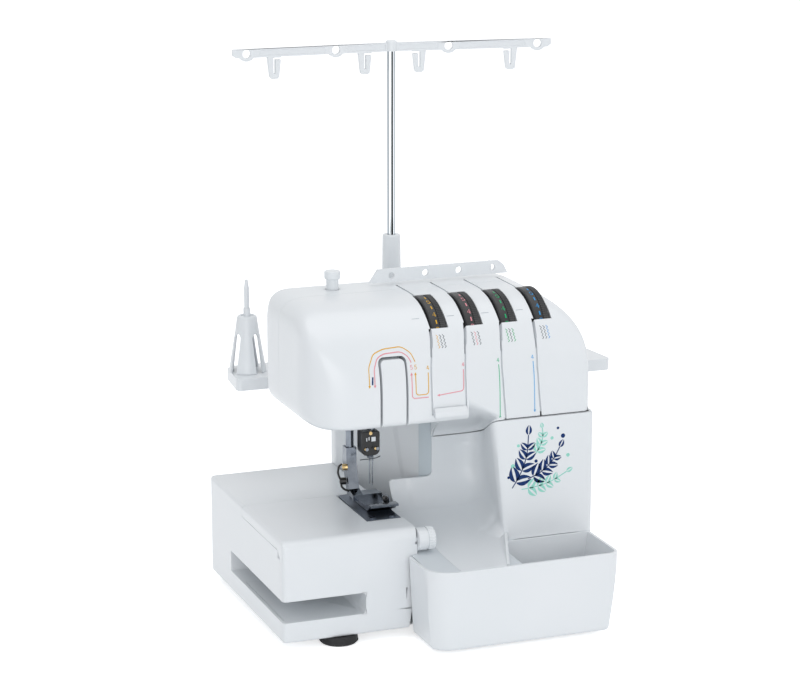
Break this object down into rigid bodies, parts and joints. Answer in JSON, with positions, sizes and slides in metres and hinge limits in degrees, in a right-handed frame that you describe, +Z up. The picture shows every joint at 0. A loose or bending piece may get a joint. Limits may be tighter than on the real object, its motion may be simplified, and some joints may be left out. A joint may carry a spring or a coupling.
{
  "type": "serger overlock machine",
  "caption": "Four-thread overlock sewing machine with free arm, sliding bed block, opening looper cover, trim bin, spool tray and telescopic thread bar.",
  "frame": {"origin": "Middle of the outline on the table, at the level of the feet's undersides.", "axes": "+X runs along the bed towards the handwheel, +Y runs from the operator to the spool tray, +Z is up."},
  "size_m": [0.376, 0.309, 0.4885],
  "materials": {
    "white_plastic": "satin white moulded casing",
    "grey_plastic": "pale grey moulded plastic",
    "black_plastic": "black moulded plastic",
    "charcoal_dial": "charcoal dial with coloured marks",
    "steel": "ground steel",
    "plate_steel": "dark blue-grey steel plate",
    "chrome": "polished chrome tube",
    "cast_frame": "die-cast aluminium",
    "bronze": "sintered bronze",
    "rubber": "black rubber",
    "clear_lens": "frosted lamp lens"
  },
  "bodies": {
    "root": {"base_tray": "grey_plastic", "rubber_feet": "rubber", "main_frame": "cast_frame", "free_arm_cover": "white_plastic", "needle_plate": "plate_steel", "plate_screws": "steel", "lower_knife": "steel", "front_housing": "white_plastic", "rear_housing": "white_plastic", "right_side_cover": "white_plastic", "lower_front_housing": "grey_plastic", "recess_panel": "white_plastic", "cover_hinge_pin": "steel", "take_up_cover": "white_plastic", "thread_guide_rail": "white_plastic", "thread_guides": "steel", "tension_spindle": "steel", "tension_discs": "steel", "shaft_bearings": "bronze", "motor": "black_plastic", "drive_belt": "rubber", "inlet_socket": "black_plastic", "sewing_lamp": "clear_lens", "spool_tray": "white_plastic", "spool_pins": "white_plastic", "mast_socket": "white_plastic", "presser_spring": "steel"},
    "bed_attachment": {"flat_bed_attachment": "white_plastic"},
    "bin": {"trim_bin": "white_plastic"},
    "looper_cover": {"front_cover": "white_plastic"},
    "dial_1": {"tension_dial_1": "charcoal_dial"},
    "dial_2": {"tension_dial_2": "charcoal_dial"},
    "dial_3": {"tension_dial_3": "charcoal_dial"},
    "dial_4": {"tension_dial_4": "charcoal_dial"},
    "pressure": {"pressure_knob": "white_plastic"},
    "lifter": {"presser_lifter": "white_plastic"},
    "presser": {"presser_bar": "steel", "presser_foot": "steel"},
    "needle": {"needle_bar": "steel", "needle_clamp": "black_plastic", "needles": "steel"},
    "take_up": {"take_up_lever": "steel"},
    "upper_looper_arm": {"upper_looper": "steel"},
    "lower_looper_arm": {"lower_looper": "steel"},
    "knife": {"upper_knife": "steel"},
    "feed": {"feed_dogs": "steel"},
    "shaft": {"main_shaft": "steel", "driven_pulley": "black_plastic", "handwheel": "white_plastic"},
    "motor_drive": {"motor_pulley": "black_plastic"},
    "width_knob": {"stitch_width_knob": "white_plastic"},
    "length_knob": {"stitch_length_dial": "white_plastic"},
    "differential_knob": {"differential_dial": "white_plastic"},
    "switch": {"power_switch": "black_plastic"},
    "cone_1": {"spool_cone_1": "white_plastic"},
    "cone_2": {"spool_cone_2": "white_plastic"},
    "cone_3": {"spool_cone_3": "white_plastic"},
    "cone_4": {"spool_cone_4": "white_plastic"},
    "mast": {"mast_tube": "chrome"},
    "bar": {"thread_bar": "white_plastic"}
  },
  "joints": [
    {"name": "bed_slides_off", "type": "slide", "parent": "root", "child": "bed_attachment", "axis": [-1, 0, 0], "range_m": [0, 0.13]},
    {"name": "bin_slides_out", "type": "slide", "parent": "root", "child": "bin", "axis": [0, -1, 0], "range_m": [0, 0.12]},
    {"name": "cover_opens", "type": "hinge", "parent": "root", "child": "looper_cover", "pos_m": [0, -0.1483, 0.0705], "axis": [1, 0, 0], "range_deg": [0, 80]},
    {"name": "dial_1_turns", "type": "hinge", "parent": "root", "child": "dial_1", "pos_m": [-0.0335, -0.03, 0.2436], "axis": [1, 0, 0], "range_deg": [-150, 150]},
    {"name": "dial_2_turns", "type": "hinge", "parent": "root", "child": "dial_2", "pos_m": [-0.0011, -0.03, 0.2436], "axis": [1, 0, 0], "range_deg": [-150, 150]},
    {"name": "dial_3_turns", "type": "hinge", "parent": "root", "child": "dial_3", "pos_m": [0.0313, -0.03, 0.2436], "axis": [1, 0, 0], "range_deg": [-150, 150]},
    {"name": "dial_4_turns", "type": "hinge", "parent": "root", "child": "dial_4", "pos_m": [0.0637, -0.03, 0.2436], "axis": [1, 0, 0], "range_deg": [-150, 150]},
    {"name": "pressure_turns", "type": "hinge", "parent": "root", "child": "pressure", "pos_m": [-0.0995, 0.0235, 0.29], "axis": [0, 0, 1], "range_deg": [-170, 170]},
    {"name": "lifter_turns", "type": "hinge", "parent": "root", "child": "lifter", "pos_m": [-0.091, 0.0325, 0.214], "axis": [0, -1, 0], "range_deg": [0, 60]},
    {"name": "presser_rises", "type": "slide", "parent": "root", "child": "presser", "axis": [0, 0, 1], "range_m": [0, 0.0057], "deforming": ["presser_spring"]},
    {"name": "needle_strokes", "type": "slide", "parent": "root", "child": "needle", "axis": [0, 0, 1], "range_m": [-0.022, 0.003]},
    {"name": "take_up_swings", "type": "hinge", "parent": "root", "child": "take_up", "pos_m": [-0.061, -0.0375, 0.214], "axis": [1, 0, 0], "range_deg": [-8, 8]},
    {"name": "upper_looper_swings", "type": "hinge", "parent": "root", "child": "upper_looper_arm", "pos_m": [-0.025, -0.0155, 0.052], "axis": [0, 1, 0], "range_deg": [-12, 0]},
    {"name": "lower_looper_swings", "type": "hinge", "parent": "root", "child": "lower_looper_arm", "pos_m": [-0.053, -0.0155, 0.045], "axis": [0, 1, 0], "range_deg": [0, 10]},
    {"name": "knife_strokes", "type": "slide", "parent": "root", "child": "knife", "axis": [0, 0, 1], "range_m": [-0.008, 0.002]},
    {"name": "feed_moves", "type": "slide", "parent": "root", "child": "feed", "axis": [0, 1, 0], "range_m": [-0.0018, 0.0018]},
    {"name": "shaft_turns", "type": "hinge", "parent": "root", "child": "shaft", "pos_m": [0.052, 0.0225, 0.12], "axis": [1, 0, 0], "continuous": true},
    {"name": "motor_turns", "type": "hinge", "parent": "root", "child": "motor_drive", "pos_m": [0.094, 0.0775, 0.055], "axis": [1, 0, 0], "continuous": true},
    {"name": "width_turns", "type": "hinge", "parent": "root", "child": "width_knob", "pos_m": [-0.06, -0.0935, 0.0864], "axis": [1, 0, 0], "range_deg": [-90, 90]},
    {"name": "length_turns", "type": "hinge", "parent": "root", "child": "length_knob", "pos_m": [0.108, -0.0395, 0.12], "axis": [1, 0, 0], "range_deg": [-120, 120]},
    {"name": "differential_turns", "type": "hinge", "parent": "root", "child": "differential_knob", "pos_m": [0.108, -0.0395, 0.082], "axis": [1, 0, 0], "range_deg": [-120, 120]},
    {"name": "switch_rocks", "type": "hinge", "parent": "root", "child": "switch", "pos_m": [0.1, 0.1035, 0.08], "axis": [0, 1, 0], "range_deg": [-6, 6]},
    {"name": "cone_1_lifts", "type": "slide", "parent": "root", "child": "cone_1", "axis": [0, 0, 1], "range_m": [0, 0.09]},
    {"name": "cone_2_lifts", "type": "slide", "parent": "root", "child": "cone_2", "axis": [0, 0, 1], "range_m": [0, 0.09]},
    {"name": "cone_3_lifts", "type": "slide", "parent": "root", "child": "cone_3", "axis": [0, 0, 1], "range_m": [0, 0.09]},
    {"name": "cone_4_lifts", "type": "slide", "parent": "root", "child": "cone_4", "axis": [0, 0, 1], "range_m": [0, 0.09]},
    {"name": "mast_lowers", "type": "slide", "parent": "root", "child": "mast", "axis": [0, 0, -1], "range_m": [0, 0.15]},
    {"name": "bar_swings", "type": "hinge", "parent": "mast", "child": "bar", "pos_m": [-0.0023, 0.1335, 0.48], "axis": [0, 0, 1], "range_deg": [-90, 90]}
  ],
  "couplings": [
    {"joint": "lifter_turns", "follows": "presser_rises", "rad_per_m": 183.7},
    {"joint": "motor_turns", "follows": "shaft_turns", "ratio": 3.3333}
  ]
}
